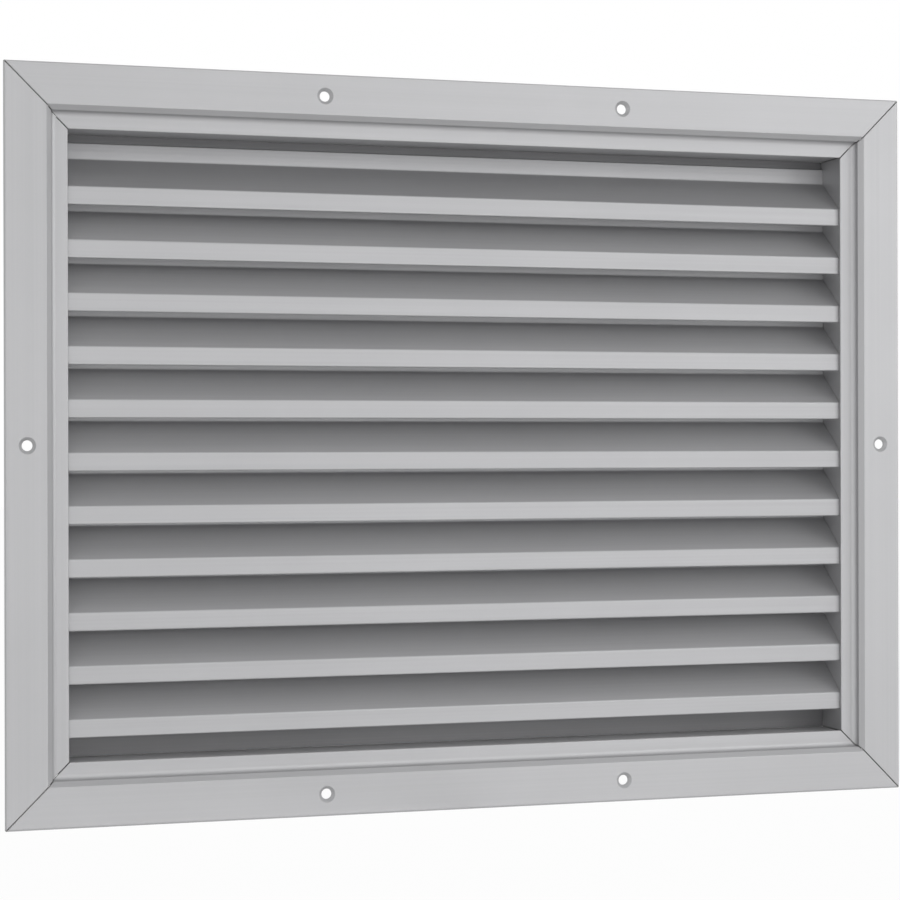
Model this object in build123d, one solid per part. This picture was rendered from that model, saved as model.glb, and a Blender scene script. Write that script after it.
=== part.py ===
from build123d import *
from math import atan2, degrees, floor, radians, sqrt, tan
import os

os.makedirs("parts", exist_ok=True)

# Louvred wall grille: a mitred extruded frame with keyed corners, fixed Z blades staked through the
# side collars, and closing strips behind the first and the last blade. Millimetres; +X to the right,
# +Y into the wall, +Z up. The origin is the grille's centre on the wall plane, the flange's back face.

# Frame section, measured from the outer edge inwards and from the flange's front face backwards
COLLAR_W = 400.0
COLLAR_H = 300.0
WALL = 1.5
FLANGE_T = 2.4
FLANGE_W = 19.5
BEVEL = 2.4
STEP_DEPTH = 6.0
LIP_W = 8.1
LIP_OVER = 0.5
COLLAR_TAIL = 2.0
OUTER_R = 1.0
BEVEL_R = 0.4
FOOT_R = 2.4
CREST_R = 0.5
MITRE_GAP = 0.42

# Hooked channel outside the collar, and the bent keys that hold the corners in it
KEY_SLOT = 2.2
HOOK_T = 1.2
TOE = 3.0
CHANNEL_W = 14.0
KEY_LEG = 16.0
KEY_FIT = 0.1
KEY_CHAMFER = 0.6

# Wall fixing holes, countersunk in the flange
HOLE_D = 5.0
SINK_D = 8.0
SINK_ANGLE = 90.0
HOLE_INSET = 10.5
HOLE_PITCH = 152.0

# Blades: front lip, sloping web and rear lip, with a tab at each end of the web
BLADE_PITCH = 25.0
BLADE_T = 1.5
BLADE_LIP = 8.5
BLADE_DEPTH = 19.0
BLADE_RISE = 15.0
BLADE_REAR_LIP = 8.0
BLADE_SETBACK = 0.5
BLADE_END_GAP = 0.15
NOSE_R = 1.2
HEEL_R = 1.2
EDGE_R = 0.6
HEAD_GAP = 27.0
SILL_GAP_MIN = 5.0
TAB_START = 6.0
TAB_L = 9.0
TAB_OUT = 0.8
TAB_FIT = 0.1

# Closing strips behind the blades, tabbed into the side collars like the blades
STRIP_T = 1.2
STRIP_GAP = 0.3
STRIP_FIT = 0.15
STRIP_OVERLAP = 6.0
STRIP_TAB_INSET = 2.5

# Sizes that follow from the ones above
STEP_IN = FLANGE_W + BEVEL
BORDER = STEP_IN + LIP_W
COLLAR_IN = BORDER - LIP_OVER
OPEN_W = COLLAR_W - 2 * WALL
OPEN_H = COLLAR_H - 2 * WALL
OUT_W = OPEN_W + 2 * COLLAR_IN
OUT_H = OPEN_H + 2 * COLLAR_IN
COLLAR_OUT = COLLAR_IN - WALL
SLOT_OUT = COLLAR_OUT - KEY_SLOT
HOOK_OUT = SLOT_OUT - HOOK_T
LIP_BACK = STEP_DEPTH + WALL
CHANNEL_REAR = LIP_BACK + CHANNEL_W
BLADE_FRONT = LIP_BACK + BLADE_SETBACK
BLADE_REAR = BLADE_FRONT + BLADE_DEPTH + BLADE_T
STRIP_FRONT = BLADE_REAR + STRIP_GAP
COLLAR_REAR = BLADE_REAR + COLLAR_TAIL
WEB_ANGLE = atan2(BLADE_RISE, BLADE_DEPTH)
BLADE_L = OPEN_W - 2 * BLADE_END_GAP
TAB_REACH = OPEN_W / 2 + WALL + TAB_OUT
BLADES = 1 + floor((OPEN_H - HEAD_GAP - BLADE_LIP - SILL_GAP_MIN) / BLADE_PITCH)
FIRST_TOP = OPEN_H / 2 - HEAD_GAP
LAST_BOTTOM = FIRST_TOP - (BLADES - 1) * BLADE_PITCH - BLADE_LIP


def depth(d):
    """Depth behind the flange's front face as a Y coordinate."""
    return d - FLANGE_T


def meet(p, a, q, b):
    """Point where the line through p along a meets the line through q along b."""
    det = b[0] * a[1] - a[0] * b[1]
    t = (b[0] * (q[1] - p[1]) - b[1] * (q[0] - p[0])) / det
    return (p[0] + t * a[0], p[1] + t * a[1])


def shifted(p, a, gap):
    """Point p moved by gap to the left of direction a."""
    size = sqrt(a[0] ** 2 + a[1] ** 2)
    return (p[0] - gap * a[1] / size, p[1] + gap * a[0] / size)


def rounded(face, spots):
    """Round the corners of a face that lie at the given spots, each with its own radius."""
    for spot, radius in spots:
        corner = face.vertices().sort_by_distance((spot[0], spot[1], 0))[0]
        face = fillet(corner, radius)
    return face


def rail_section():
    """Section of the frame extrusion, drawn as (depth, -distance from the outer edge)."""
    edge = (FLANGE_W, 0)
    brow = (STEP_IN, BEVEL)
    foot = (STEP_IN, STEP_DEPTH)
    crest = (BORDER, STEP_DEPTH)
    front_toe = LIP_BACK + TOE
    rear_toe = CHANNEL_REAR - TOE
    hook_rear = CHANNEL_REAR + HOOK_T
    outline = [
        (0, 0), edge, brow, foot, crest, (BORDER, LIP_BACK), (COLLAR_IN, LIP_BACK),
        (COLLAR_IN, COLLAR_REAR), (COLLAR_OUT, COLLAR_REAR),
        (COLLAR_OUT, hook_rear), (HOOK_OUT, hook_rear), (HOOK_OUT, rear_toe), (SLOT_OUT, rear_toe),
        (SLOT_OUT, CHANNEL_REAR), (COLLAR_OUT, CHANNEL_REAR), (COLLAR_OUT, LIP_BACK), (SLOT_OUT, LIP_BACK),
        (SLOT_OUT, front_toe), (HOOK_OUT, front_toe), (HOOK_OUT, LIP_BACK), (STEP_IN - WALL, LIP_BACK),
        (STEP_IN - WALL, FLANGE_T), (0, FLANGE_T),
    ]
    face = make_face(Polyline(*[(depth(d), -s) for s, d in outline], close=True))
    foot_r = min(FOOT_R, STEP_DEPTH - BEVEL - BEVEL_R)
    rounds = [((0, 0), OUTER_R), (edge, BEVEL_R), (brow, BEVEL_R), (foot, foot_r), (crest, CREST_R)]
    return rounded(face, [((depth(d), -s), r) for (s, d), r in rounds])


def fixing_hole(x, z):
    """Countersunk through hole in the flange at (x, z)."""
    sink = (SINK_D - HOLE_D) / 2 / tan(radians(SINK_ANGLE / 2))
    bore = Pos(x, depth(FLANGE_T / 2), z) * Rot(90, 0, 0) * Cylinder(HOLE_D / 2, 2 * FLANGE_T)
    cone = Pos(x, depth(sink / 2), z) * Rot(90, 0, 0) * Cone(HOLE_D / 2, SINK_D / 2, sink)
    return bore + cone


def rail(length, half, hole_places):
    """Mitred rail along X with its outer edge at Z = half and fixing holes at the given X."""
    bar = extrude(Plane.YZ * Pos(0, half) * rail_section(), length / 2, both=True)
    top = length / 2 - MITRE_GAP / 2 * sqrt(2)
    low = top - BORDER
    trapezium = Polyline((-top, half), (top, half), (low, half - BORDER), (-low, half - BORDER), close=True)
    bar = bar & extrude(Plane.XZ * make_face(trapezium), 2 * COLLAR_REAR, both=True)
    for x in hole_places:
        bar = bar - fixing_hole(x, half - HOLE_INSET)
    return bar


def corner_key(sx, sz):
    """Bent key in the two channels that meet at the corner in the direction (sx, sz)."""
    x_out = OUT_W / 2 - SLOT_OUT - KEY_FIT
    z_out = OUT_H / 2 - SLOT_OUT - KEY_FIT
    gauge = KEY_SLOT - 2 * KEY_FIT
    front = depth(LIP_BACK + KEY_FIT)
    rear = depth(CHANNEL_REAR - KEY_FIT)
    outline = [
        (x_out, z_out), (x_out - KEY_LEG, z_out), (x_out - KEY_LEG, z_out - gauge),
        (x_out - gauge, z_out - gauge), (x_out - gauge, z_out - KEY_LEG), (x_out, z_out - KEY_LEG),
    ]
    face = make_face(Polyline(*[(sx * x, sz * z) for x, z in outline], close=True))
    ends = [outline[1], outline[5]]
    for x, z in ends:
        face = chamfer(face.vertices().sort_by_distance((sx * x, sz * z, 0))[0], KEY_CHAMFER)
    plane = Plane((0, front, 0), x_dir=(1, 0, 0), z_dir=(0, -1, 0))
    return extrude(plane * face, front - rear)


def blade_section():
    """Section of a blade, with its front lip's top edge at the origin."""
    foot = (0, -BLADE_LIP)
    nose = (0, 0)
    heel = (BLADE_DEPTH, BLADE_RISE)
    tip = (BLADE_DEPTH, BLADE_RISE + BLADE_REAR_LIP)
    up = (0, 1)
    under = shifted(nose, heel, -BLADE_T)
    nose_in = meet(under, heel, (BLADE_T, 0), up)
    heel_in = meet(under, heel, (BLADE_DEPTH + BLADE_T, 0), up)
    foot_in = (BLADE_T, foot[1])
    tip_in = (BLADE_DEPTH + BLADE_T, tip[1])
    face = make_face(Polyline(foot, nose, heel, tip, tip_in, heel_in, nose_in, foot_in, close=True))
    rounds = [(nose, NOSE_R), (heel, HEEL_R), (heel_in, HEEL_R), (foot, EDGE_R), (tip, EDGE_R)]
    return rounded(face, rounds)


def tab_section(fit):
    """Stretch of the web that carries on as a tab, grown all round by the given fit."""
    middle = Pos(TAB_START + TAB_L / 2, -BLADE_T / 2)
    return Rot(0, 0, degrees(WEB_ANGLE)) * middle * Rectangle(TAB_L + 2 * fit, BLADE_T + 2 * fit)


def strip_section(low, high, fit):
    """Section of a closing strip between two heights, grown all round by the given fit."""
    middle = Pos(depth(STRIP_FRONT + STRIP_T / 2), (low + high) / 2)
    return middle * Rectangle(STRIP_T + 2 * fit, high - low + 2 * fit)


def along_x(face, reach):
    """Bar of the given section from -reach to reach along X."""
    return extrude(Plane.YZ * face, reach, both=True)


def blade_place(n):
    """Place of the n-th blade, counted from 0 at the head."""
    return Pos(0, depth(BLADE_FRONT), FIRST_TOP - n * BLADE_PITCH)


rear_lip_top = FIRST_TOP + BLADE_RISE + BLADE_REAR_LIP
STRIPS = {
    "head_strip": (rear_lip_top - STRIP_OVERLAP, OPEN_H / 2 - STRIP_FIT),
    "sill_strip": (-OPEN_H / 2 + STRIP_FIT, LAST_BOTTOM + STRIP_OVERLAP),
}

frame_top = rail(OUT_W, OUT_H / 2, (-HOLE_PITCH / 2, HOLE_PITCH / 2))
side_rail = rail(OUT_H, OUT_W / 2, (0,))
frame_left = Rot(0, -90, 0) * side_rail
frame_right = Rot(0, 90, 0) * side_rail
for n in range(BLADES):
    slot = blade_place(n) * along_x(tab_section(TAB_FIT), OUT_W / 2)
    frame_left = frame_left - slot
    frame_right = frame_right - slot
for low, high in STRIPS.values():
    slot = along_x(strip_section(low + STRIP_TAB_INSET, high - STRIP_TAB_INSET, TAB_FIT), OUT_W / 2)
    frame_left = frame_left - slot
    frame_right = frame_right - slot

parts = {
    "frame_top": frame_top,
    "frame_bottom": Rot(0, 180, 0) * frame_top,
    "frame_left": frame_left,
    "frame_right": frame_right,
    "key_top_left": corner_key(-1, 1),
    "key_top_right": corner_key(1, 1),
    "key_bottom_left": corner_key(-1, -1),
    "key_bottom_right": corner_key(1, -1),
}

blade = along_x(blade_section(), BLADE_L / 2) + along_x(tab_section(0), TAB_REACH)
for n in range(BLADES):
    parts[f"blade_{n + 1:02d}"] = blade_place(n) * blade

for name, (low, high) in STRIPS.items():
    tabs = strip_section(low + STRIP_TAB_INSET, high - STRIP_TAB_INSET, 0)
    parts[name] = along_x(strip_section(low, high, 0), BLADE_L / 2) + along_x(tabs, TAB_REACH)

for name, part in parts.items():
    export_step(part, f"parts/{name}.step")
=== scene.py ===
"""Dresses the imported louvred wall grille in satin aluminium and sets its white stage, light and camera."""

import logging
import math
from dataclasses import dataclass, field
from enum import Enum

import bmesh
import bpy
from mathutils import Euler, Matrix, Vector


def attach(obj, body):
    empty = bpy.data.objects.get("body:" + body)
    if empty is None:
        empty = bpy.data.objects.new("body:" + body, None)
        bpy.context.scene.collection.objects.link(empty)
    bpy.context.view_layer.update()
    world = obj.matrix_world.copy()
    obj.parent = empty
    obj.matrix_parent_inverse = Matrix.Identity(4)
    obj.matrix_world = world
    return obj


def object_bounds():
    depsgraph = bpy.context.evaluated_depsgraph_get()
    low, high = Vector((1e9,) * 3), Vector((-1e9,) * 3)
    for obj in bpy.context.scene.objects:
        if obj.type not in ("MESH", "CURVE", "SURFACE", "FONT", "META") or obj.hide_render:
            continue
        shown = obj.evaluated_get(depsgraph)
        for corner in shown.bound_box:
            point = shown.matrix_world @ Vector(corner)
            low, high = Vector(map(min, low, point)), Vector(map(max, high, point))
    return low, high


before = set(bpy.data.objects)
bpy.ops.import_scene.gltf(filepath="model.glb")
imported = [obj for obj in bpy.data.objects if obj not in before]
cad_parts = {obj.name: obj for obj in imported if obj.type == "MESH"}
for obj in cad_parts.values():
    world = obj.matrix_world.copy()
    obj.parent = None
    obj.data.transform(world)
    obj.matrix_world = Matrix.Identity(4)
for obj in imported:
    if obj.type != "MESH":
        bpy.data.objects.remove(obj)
CAD_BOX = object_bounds()
LOG = logging.getLogger("grille")
MM = 0.001
IMAGE_PX = 900
SENSOR_MM = 36.0
NOISE_SPAN = (0.3, 0.7)
WHITE = (1.0, 1.0, 1.0, 1.0)

Triple = tuple[float, float, float]
Feed = bpy.types.NodeSocket | float


class Grain(Enum):
    """Direction of the die lines that extruding or rolling leaves in the metal."""

    ALONG_X = "x"
    ALONG_Z = "z"


class Side(Enum):
    """Left or right side of the grille, as the sign of X."""

    LEFT = -1
    RIGHT = 1


@dataclass(frozen=True)
class NodeBench:
    """Bench at which the nodes of one tree are made and wired.

    Attributes:
        tree: Node tree that takes the nodes.
    """

    tree: bpy.types.NodeTree

    def feed(self, socket: bpy.types.NodeSocket, value: Feed) -> None:
        """Wires an input to an output, or sets its constant.

        Args:
            socket: Input to feed.
            value: Output to take, or the constant.
        """
        if isinstance(value, float):
            socket.default_value = value
        else:
            self.tree.links.new(value, socket)

    def maths(self, operation: str, *values: Feed) -> bpy.types.NodeSocket:
        """Adds a math node.

        Args:
            operation: Blender's name of the operation.
            values: Its inputs, in order.

        Returns:
            The result.
        """
        node = self.tree.nodes.new("ShaderNodeMath")
        node.operation = operation
        for socket, value in zip(node.inputs, values):
            self.feed(socket, value)
        return node.outputs["Value"]

    def span(
        self,
        value: bpy.types.NodeSocket,
        from_range: tuple[float, float],
        to_range: tuple[float, float] = (0.0, 1.0),
        interpolation: str = "LINEAR",
    ) -> bpy.types.NodeSocket:
        """Brings a value from one range to another.

        Args:
            value: Value to bring over.
            from_range: Ends of its range.
            to_range: Ends of the new range.
            interpolation: Blender's name of the way between the ends.

        Returns:
            The value in the new range.
        """
        node = self.tree.nodes.new("ShaderNodeMapRange")
        node.interpolation_type = interpolation
        ends = zip(("From Min", "From Max", "To Min", "To Max"), (*from_range, *to_range))
        for name, end in ends:
            node.inputs[name].default_value = end
        self.feed(node.inputs["Value"], value)
        return node.outputs["Result"]

    def mix(self, share: bpy.types.NodeSocket, first: Triple) -> bpy.types.Node:
        """Adds a colour mix whose second colour is still to be set.

        Args:
            share: Share of the second colour.
            first: First colour, linear.

        Returns:
            The node.
        """
        node = self.tree.nodes.new("ShaderNodeMix")
        node.data_type = "RGBA"
        node.inputs["A"].default_value = (*first, 1.0)
        self.feed(node.inputs["Factor"], share)
        return node

    def noise(self, place: bpy.types.NodeSocket, scale: Triple, detail: float) -> bpy.types.NodeSocket:
        """Adds a noise.

        Args:
            place: Coordinates in metres.
            scale: Waves in a metre along each axis.
            detail: Number of finer noises laid over it.

        Returns:
            The noise's value.
        """
        stretch = self.tree.nodes.new("ShaderNodeMapping")
        stretch.inputs["Scale"].default_value = scale
        self.feed(stretch.inputs["Vector"], place)
        node = self.tree.nodes.new("ShaderNodeTexNoise")
        node.inputs["Scale"].default_value = 1.0
        node.inputs["Detail"].default_value = detail
        self.feed(node.inputs["Vector"], stretch.outputs["Vector"])
        return node.outputs["Fac"]

    def bump(self, height: bpy.types.NodeSocket, depth_mm: float) -> bpy.types.Node:
        """Adds a bump.

        Args:
            height: Height from 0 to 1.
            depth_mm: Depth that a height of 1 stands for.

        Returns:
            The node.
        """
        node = self.tree.nodes.new("ShaderNodeBump")
        node.inputs["Strength"].default_value = 1.0
        node.inputs["Distance"].default_value = depth_mm * MM
        self.feed(node.inputs["Height"], height)
        return node


@dataclass(frozen=True)
class MitreSeamShade:
    """Dark line along the mitres of a rectangular frame: bare saw-cut metal, with painted shade of the gap
    between the rails.

    Attributes:
        tone: Colour of the line, linear.
        half_mm: Distance from the mitre plane at which the line begins to fade.
        fade_mm: Distance over which it fades.
    """

    tone: Triple = (0.28, 0.28, 0.28)
    half_mm: float = 0.25
    fade_mm: float = 0.30

    def over(
        self, bench: NodeBench, place: bpy.types.NodeSocket, colour: bpy.types.NodeSocket
    ) -> bpy.types.NodeSocket:
        """Lays the line over a colour.

        Args:
            bench: Bench of the material.
            place: Object coordinates in metres.
            colour: Colour away from the mitres.

        Returns:
            Colour with the line.
        """
        axes = bench.tree.nodes.new("ShaderNodeSeparateXYZ")
        bench.feed(axes.inputs["Vector"], place)
        x = bench.maths("ABSOLUTE", axes.outputs["X"])
        z = bench.maths("ABSOLUTE", axes.outputs["Z"])
        # On a mitre plane |x| - |z| is what it is at the frame's corner
        corner = CAD_BOX[1][0] - CAD_BOX[1][2]
        away = bench.maths("ABSOLUTE", bench.maths("SUBTRACT", bench.maths("SUBTRACT", x, z), corner))
        slant = math.sqrt(2.0) * MM
        fade = (slant * self.half_mm, slant * (self.half_mm + self.fade_mm))
        # Painted shade of the mitre gap, together with the saw-cut metal's dark tone.
        mix = bench.mix(bench.span(away, fade, interpolation="SMOOTHSTEP"), self.tone)
        bench.feed(mix.inputs["B"], colour)
        return mix.outputs["Result"]


@dataclass(frozen=True)
class SatinMetal:
    """Satin aluminium with soft tone changes, die lines and a fine etched grain.

    Attributes:
        name: Material name.
        tone: Base colour, linear.
        shade: Colour of the slightly darker patches, linear.
        metallic: Share of metallic reflection.
        roughness: Lowest and highest roughness.
        seam: Dark line along the mitres, of bare saw-cut metal and painted shade of the gap between the
            rails, if any.
        line_mm: Spacing of the die lines.
        line_stretch: Length of a die line in spacings.
        line_depth_mm: Depth of the die lines.
        line_share: Share of the die lines in the tone changes; the soft patches have the rest.
        patch_scale: Soft patches in a metre.
        patch_detail: Detail of the soft patches.
        etch_mm: Size of the etched grain.
        etch_depth_mm: Depth of the etched grain.
        grain_detail: Detail of the die lines and the etched grain.
    """

    name: str
    tone: Triple
    shade: Triple
    metallic: float
    roughness: tuple[float, float]
    seam: MitreSeamShade | None = None
    line_mm: float = 0.9
    line_stretch: float = 400.0
    line_depth_mm: float = 0.0012
    line_share: float = 0.35
    patch_scale: float = 14.0
    patch_detail: float = 3.0
    etch_mm: float = 0.35
    etch_depth_mm: float = 0.0015
    grain_detail: float = 2.0

    def material(self, grain: Grain) -> bpy.types.Material:
        """Builds the node material.

        Args:
            grain: Direction in which the die lines run.

        Returns:
            The material, named after the finish and the grain.
        """
        mat = bpy.data.materials.new(f"{self.name}_{grain.value}")
        mat.use_nodes = True
        bench = NodeBench(mat.node_tree)
        shader = mat.node_tree.nodes["Principled BSDF"]
        shader.inputs["Metallic"].default_value = self.metallic
        place = mat.node_tree.nodes.new("ShaderNodeTexCoord").outputs["Object"]

        across = 1.0 / (self.line_mm * MM)
        along = across / self.line_stretch
        line_scale = (along, across, across) if grain is Grain.ALONG_X else (across, across, along)
        lines = bench.noise(place, line_scale, self.grain_detail)
        patches = bench.noise(place, (self.patch_scale,) * 3, self.patch_detail)
        etch = bench.noise(place, (1.0 / (self.etch_mm * MM),) * 3, self.grain_detail)

        patch_part = bench.maths("MULTIPLY", bench.span(patches, NOISE_SPAN), 1.0 - self.line_share)
        mix = bench.mix(bench.maths("MULTIPLY_ADD", lines, self.line_share, patch_part), self.shade)
        mix.inputs["B"].default_value = (*self.tone, 1.0)
        colour = mix.outputs["Result"]
        if self.seam is not None:
            colour = self.seam.over(bench, place, colour)
        bench.feed(shader.inputs["Base Color"], colour)
        bench.feed(shader.inputs["Roughness"], bench.span(lines, NOISE_SPAN, self.roughness))

        line_relief = bench.bump(lines, self.line_depth_mm)
        etch_relief = bench.bump(etch, self.etch_depth_mm)
        bench.feed(etch_relief.inputs["Normal"], line_relief.outputs["Normal"])
        bench.feed(shader.inputs["Normal"], etch_relief.outputs["Normal"])
        return mat


# The frame's mitre line is bare saw-cut metal with painted shade of the mitre gap.
FRAME_FINISH = SatinMetal(
    "frame_satin", (0.465, 0.465, 0.474), (0.442, 0.442, 0.451), 0.7, (0.55, 0.62), seam=MitreSeamShade()
)
# Blades are a little darker than the frame: painted shade of the louvre cavity on the webs and lips.
SHADED_BLADE_FINISH = SatinMetal("blade_satin_shaded", (0.425, 0.425, 0.434), (0.404, 0.404, 0.413), 0.8, (0.55, 0.62))
# The closing strips' very dark tone is painted shade: it stands in for the deep shade of the slits.
STRIP_SHADE_FINISH = SatinMetal("strip_painted_shade", (0.172, 0.172, 0.176), (0.158, 0.158, 0.162), 0.9, (0.48, 0.58))
KEY_FINISH = SatinMetal("key_mill", (0.50, 0.50, 0.505), (0.44, 0.44, 0.445), 0.8, (0.3, 0.42))


def dress_node(name: str, material: bpy.types.Material) -> None:
    """Gives a CAD node a material in every slot.

    Args:
        name: Node name.
        material: Material to show.
    """
    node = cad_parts[name]
    if not node.material_slots:
        node.data.materials.append(material)
    for slot in node.material_slots:
        slot.material = material


def mesh_piece(name: str, bm: bmesh.types.BMesh, material: bpy.types.Material) -> bpy.types.Object:
    """Turns a bmesh into a piece that rides on the part.

    Args:
        name: Piece name.
        bm: Geometry in metres, in the part's frame; it is freed.
        material: Material to show.

    Returns:
        The new object.
    """
    mesh = bpy.data.meshes.new(name)
    bm.to_mesh(mesh)
    bm.free()
    mesh.materials.append(material)
    mesh.shade_smooth()
    piece = bpy.data.objects.new(name, mesh)
    bpy.context.scene.collection.objects.link(piece)
    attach(piece, "root")
    return piece


@dataclass
class FrameAssembly:
    """Four mitred rails and the bent keys in their corners.

    Attributes:
        level_rails: Nodes of the rails that run along X.
        upright_rails: Nodes of the rails that run along Z.
        keys: Nodes of the corner keys.
    """

    level_rails: tuple[str, ...] = ("frame_top", "frame_bottom")
    upright_rails: tuple[str, ...] = ("frame_left", "frame_right")
    keys: tuple[str, ...] = ("key_top_left", "key_top_right", "key_bottom_left", "key_bottom_right")

    def dress(self) -> int:
        """Assigns the finishes.

        Returns:
            Number of nodes that were dressed.
        """
        level = FRAME_FINISH.material(Grain.ALONG_X)
        upright = FRAME_FINISH.material(Grain.ALONG_Z)
        key = KEY_FINISH.material(Grain.ALONG_X)
        for names, material in ((self.level_rails, level), (self.upright_rails, upright), (self.keys, key)):
            for name in names:
                dress_node(name, material)
        return len(self.level_rails) + len(self.upright_rails) + len(self.keys)


@dataclass
class TabHead:
    """Upset end of a tab, spread over the slot on the outside of a side collar.

    Attributes:
        length_mm: Size along the tab.
        width_mm: Size across the tab.
        height_mm: Height over the collar.
        middle_mm: Place of its middle on the collar as Y and Z.
        slope: Angle of the tab to the Y axis, in radians.
        round_share: Rounding of its edges as a share of its smaller thickness.
        round_steps: Faces across a rounded edge.
        round_profile: Blender's number for the rounding's shape, 0.5 for a circle.
    """

    length_mm: float
    width_mm: float
    height_mm: float
    middle_mm: tuple[float, float]
    slope: float
    round_share: float = 0.45
    round_steps: int = 3
    round_profile: float = 0.6

    def add_to(self, bm: bmesh.types.BMesh, side: Side, seat_mm: float) -> None:
        """Adds the rounded lump to a mesh.

        Args:
            bm: Mesh that takes the lump.
            side: Side of the grille.
            seat_mm: Distance of the collar's outer face from the middle plane.
        """
        lump = bmesh.ops.create_cube(bm, size=1.0)["verts"]
        thick_mm = 2 * self.height_mm
        turn = Matrix.Rotation(self.slope, 4, "X")
        sizes = Matrix.Diagonal((thick_mm * MM, self.length_mm * MM, self.width_mm * MM, 1.0))
        place = Vector((side.value * seat_mm * MM, self.middle_mm[0] * MM, self.middle_mm[1] * MM))
        bmesh.ops.transform(bm, verts=lump, matrix=Matrix.Translation(place) @ turn @ sizes)
        bmesh.ops.bevel(
            bm,
            geom=list({edge for vert in lump for edge in vert.link_edges}),
            offset=self.round_share * min(thick_mm, self.width_mm) * MM,
            segments=self.round_steps,
            affect="EDGES",
            profile=self.round_profile,
        )


@dataclass
class BladeBank:
    """Fixed Z blades between the side rails, with the upset ends of their tabs.

    Attributes:
        count: Number of blades.
        pitch_mm: Distance from blade to blade.
        first_top_mm: Height of the first front lip's top edge.
        front_mm: Y of the blades' front plane.
        depth_mm: Depth of the web.
        rise_mm: Rise of the web.
        metal_mm: Thickness of the metal.
        tab_start_mm: Distance along the web at which the tab begins.
        tab_mm: Length of the tab.
        collar_mm: Distance of the side collars' outer faces from the middle plane.
        head_spread_mm: How far the upset end stands past the tab all round.
        head_height_mm: Height of the upset end over the collar.
    """

    count: int = 11
    pitch_mm: float = 25.0
    first_top_mm: float = 121.5
    front_mm: float = 5.6
    depth_mm: float = 19.0
    rise_mm: float = 15.0
    metal_mm: float = 1.5
    tab_start_mm: float = 6.0
    tab_mm: float = 9.0
    collar_mm: float = 200.0
    head_spread_mm: float = 0.45
    head_height_mm: float = 0.95

    def names(self) -> list[str]:
        """Returns the blades' node names from the head down."""
        return [f"blade_{n + 1:02d}" for n in range(self.count)]

    def heads(self) -> list[TabHead]:
        """Works out the upset tab ends of one side.

        Returns:
            The ends, from the head down.
        """
        slope = math.atan2(self.rise_mm, self.depth_mm)
        reach = self.tab_start_mm + self.tab_mm / 2
        drop = self.metal_mm / 2
        y = self.front_mm + reach * math.cos(slope) + drop * math.sin(slope)
        z = reach * math.sin(slope) - drop * math.cos(slope)
        spread = 2 * self.head_spread_mm
        return [
            TabHead(self.tab_mm + spread, self.metal_mm + spread, self.head_height_mm,
                    (y, self.first_top_mm - n * self.pitch_mm + z), slope)
            for n in range(self.count)
        ]

    def dress(self) -> int:
        """Assigns the finish to every blade.

        Returns:
            Number of nodes that were dressed.
        """
        material = SHADED_BLADE_FINISH.material(Grain.ALONG_X)
        for name in self.names():
            dress_node(name, material)
        return self.count

    def build(self) -> list[bpy.types.Object]:
        """Makes the upset tab ends on both sides.

        Returns:
            One piece for each side.
        """
        material = KEY_FINISH.material(Grain.ALONG_Z)
        pieces = []
        for side in Side:
            bm = bmesh.new()
            for head in self.heads():
                head.add_to(bm, side, self.collar_mm)
            pieces.append(mesh_piece(f"tab_heads_{side.name.lower()}", bm, material))
        return pieces


@dataclass
class ClosingStrips:
    """Flat strips behind the first and the last blade, in a very dark finish that is painted shade of the
    deep slits.

    Attributes:
        nodes: Node names.
    """

    nodes: tuple[str, ...] = ("head_strip", "sill_strip")

    def dress(self) -> int:
        """Assigns the finish.

        Returns:
            Number of nodes that were dressed.
        """
        material = STRIP_SHADE_FINISH.material(Grain.ALONG_X)
        for name in self.nodes:
            dress_node(name, material)
        return len(self.nodes)


@dataclass(frozen=True)
class Softbox:
    """Square area lamp.

    Attributes:
        name: Lamp name.
        place: Position in metres.
        target: Point that it faces, in metres.
        size: Edge length in metres.
        watts: Power.
    """

    name: str
    place: Triple
    target: Triple
    size: float
    watts: float

    def build(self) -> bpy.types.Object:
        """Adds the lamp to the scene.

        Returns:
            The lamp.
        """
        data = bpy.data.lights.new(self.name, "AREA")
        data.shape = "SQUARE"
        data.size = self.size
        data.energy = self.watts
        lamp = bpy.data.objects.new(self.name, data)
        lamp.location = self.place
        aim = Vector(self.target) - Vector(self.place)
        lamp.rotation_euler = aim.to_track_quat("-Z", "Y").to_euler()
        bpy.context.scene.collection.objects.link(lamp)
        return lamp


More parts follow.
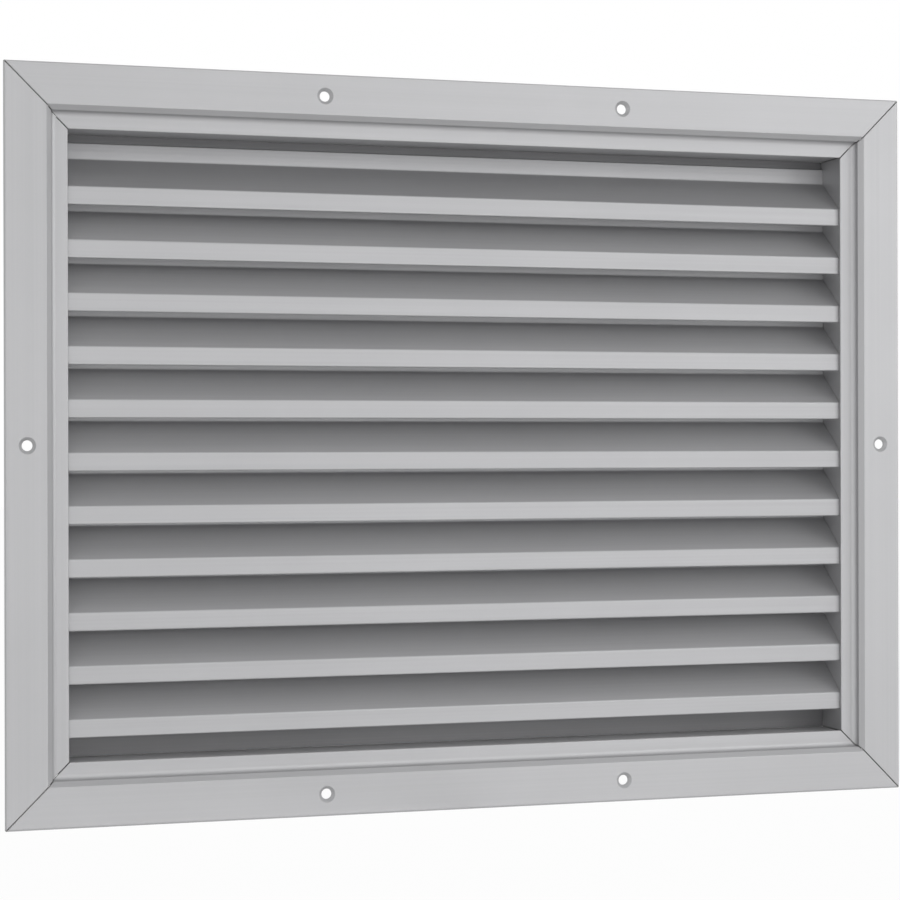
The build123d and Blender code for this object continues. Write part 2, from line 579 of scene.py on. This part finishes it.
@dataclass
class Studio:
    """White stage, soft light and the camera at the photograph's viewing angle.

    Attributes:
        floor_half: Half the floor's edge length, in metres.
        floor_gap_mm: Gap between the floor and the part's lowest edge.
        floor_tone: Colour of the floor, linear.
        floor_white: Share of the floor's look that is plain white to the camera.
        ambient: Strength of the world's light on the object.
        eye: Camera position in metres.
        yaw_deg: Turn of the view from +Y towards +X.
        pitch_deg: Rise of the view.
        roll_deg: Roll of the view.
        focal_px: Focal length in pixels of the picture.
        near_clip: Distance from which the camera sees, in metres.
        lamps: Lamps.
    """

    floor_half: float = 6.0
    floor_gap_mm: float = 0.2
    floor_tone: Triple = (0.9, 0.9, 0.9)
    floor_white: float = 0.97
    ambient: float = 0.17
    eye: Triple = (-0.31789, -1.04093, -0.00237)
    yaw_deg: float = 16.300
    pitch_deg: float = -0.006
    roll_deg: float = -0.143
    focal_px: float = 2219.47
    near_clip: float = 0.01
    lamps: tuple[Softbox, ...] = field(default_factory=lambda: (
        Softbox("front", (0.3, -2.3, 0.2), (0.0, 0.0, 0.0), 2.0, 5.2),
        Softbox("right", (2.0, -1.5, 0.5), (0.0, 0.0, 0.0), 1.5, 15.5),
        Softbox("high", (1.0, -1.8, 1.3), (0.0, 0.0, 0.0), 1.5, 7.5),
        Softbox("left", (-1.6, -1.8, 0.4), (0.0, 0.0, 0.0), 1.5, 7.5),
        Softbox("low_left", (-0.3, -0.8, -0.14), (-0.12, 0.0, -0.17), 0.12, 0.55),
        Softbox("low_right", (0.2, -0.8, -0.12), (0.08, 0.0, -0.17), 0.12, 0.55),
        Softbox("rear", (-0.8, 2.0, 0.5), (0.0, 0.0, 0.0), 1.5, 4.0),
    ))

    def seen_by_eye(self, bench: NodeBench) -> bpy.types.NodeSocket:
        """Adds a switch that is 1 for camera, glossy and transmission rays.

        Args:
            bench: Bench of the material or the world.

        Returns:
            Output with the switch's value.
        """
        path = bench.tree.nodes.new("ShaderNodeLightPath")
        seen = path.outputs["Is Camera Ray"]
        for name in ("Is Glossy Ray", "Is Transmission Ray"):
            seen = bench.maths("MAXIMUM", seen, path.outputs[name])
        return seen

    def build_world(self) -> None:
        """Makes a world that is white to the eye and an even, weaker light to the object."""
        world = bpy.data.worlds.new("studio")
        world.use_nodes = True
        bpy.context.scene.world = world
        tree = world.node_tree
        tree.nodes.clear()
        bench = NodeBench(tree)
        sky = tree.nodes.new("ShaderNodeBackground")
        sky.inputs["Color"].default_value = WHITE
        level = bench.span(self.seen_by_eye(bench), (0.0, 1.0), (self.ambient, 1.0))
        bench.feed(sky.inputs["Strength"], level)
        out = tree.nodes.new("ShaderNodeOutputWorld")
        bench.feed(out.inputs["Surface"], sky.outputs["Background"])

    def floor_material(self) -> bpy.types.Material:
        """Makes the floor's material, which is nearly white to the eye and keeps a faint shadow.

        Returns:
            The material.
        """
        mat = bpy.data.materials.new("floor_pale")
        mat.use_nodes = True
        tree = mat.node_tree
        tree.nodes.clear()
        bench = NodeBench(tree)
        matt = tree.nodes.new("ShaderNodeBsdfDiffuse")
        matt.inputs["Color"].default_value = (*self.floor_tone, 1.0)
        white = tree.nodes.new("ShaderNodeEmission")
        mix = tree.nodes.new("ShaderNodeMixShader")
        bench.feed(mix.inputs["Fac"], bench.maths("MULTIPLY", self.seen_by_eye(bench), self.floor_white))
        bench.feed(mix.inputs[1], matt.outputs["BSDF"])
        bench.feed(mix.inputs[2], white.outputs["Emission"])
        out = tree.nodes.new("ShaderNodeOutputMaterial")
        bench.feed(out.inputs["Surface"], mix.outputs["Shader"])
        return mat

    def build_floor(self) -> bpy.types.Object:
        """Makes the floor under the lowest edge of the part.

        Returns:
            The floor.
        """
        bm = bmesh.new()
        bmesh.ops.create_grid(bm, x_segments=1, y_segments=1, size=self.floor_half)
        height = CAD_BOX[0][2] - self.floor_gap_mm * MM
        bmesh.ops.translate(bm, verts=bm.verts, vec=(0.0, 0.0, height))
        mesh = bpy.data.meshes.new("floor")
        bm.to_mesh(mesh)
        bm.free()
        mesh.materials.append(self.floor_material())
        floor = bpy.data.objects.new("floor", mesh)
        bpy.context.scene.collection.objects.link(floor)
        return floor

    def build_camera(self) -> bpy.types.Object:
        """Places the camera.

        Returns:
            The camera, set as the scene's camera.
        """
        data = bpy.data.cameras.new("photo_view")
        data.sensor_width = SENSOR_MM
        data.sensor_fit = "AUTO"
        data.lens = self.focal_px / IMAGE_PX * SENSOR_MM
        data.clip_start = self.near_clip
        camera = bpy.data.objects.new("photo_view", data)
        level = Euler((math.radians(90.0 + self.pitch_deg), 0.0, math.radians(-self.yaw_deg)))
        turn = level.to_matrix() @ Matrix.Rotation(math.radians(self.roll_deg), 3, "Z")
        camera.matrix_world = Matrix.Translation(self.eye) @ turn.to_4x4()
        bpy.context.scene.collection.objects.link(camera)
        bpy.context.scene.camera = camera
        return camera

    def build(self) -> None:
        """Makes the world, the floor, the lamps and the camera."""
        self.build_world()
        self.build_floor()
        for lamp in self.lamps:
            lamp.build()
        self.build_camera()


def main() -> None:
    """Dresses the part, builds its added pieces and sets the stage."""
    logging.basicConfig(level=logging.INFO, format="%(name)s: %(message)s")
    bank = BladeBank()
    LOG.info("frame: %d nodes dressed", FrameAssembly().dress())
    LOG.info("blades: %d nodes dressed", bank.dress())
    LOG.info("strips: %d nodes dressed", ClosingStrips().dress())
    for piece in bank.build():
        LOG.info("piece %s: %d faces", piece.name, len(piece.data.polygons))
    Studio().build()
    bpy.context.scene.view_settings.view_transform = "Standard"


if __name__ == "__main__":
    main()
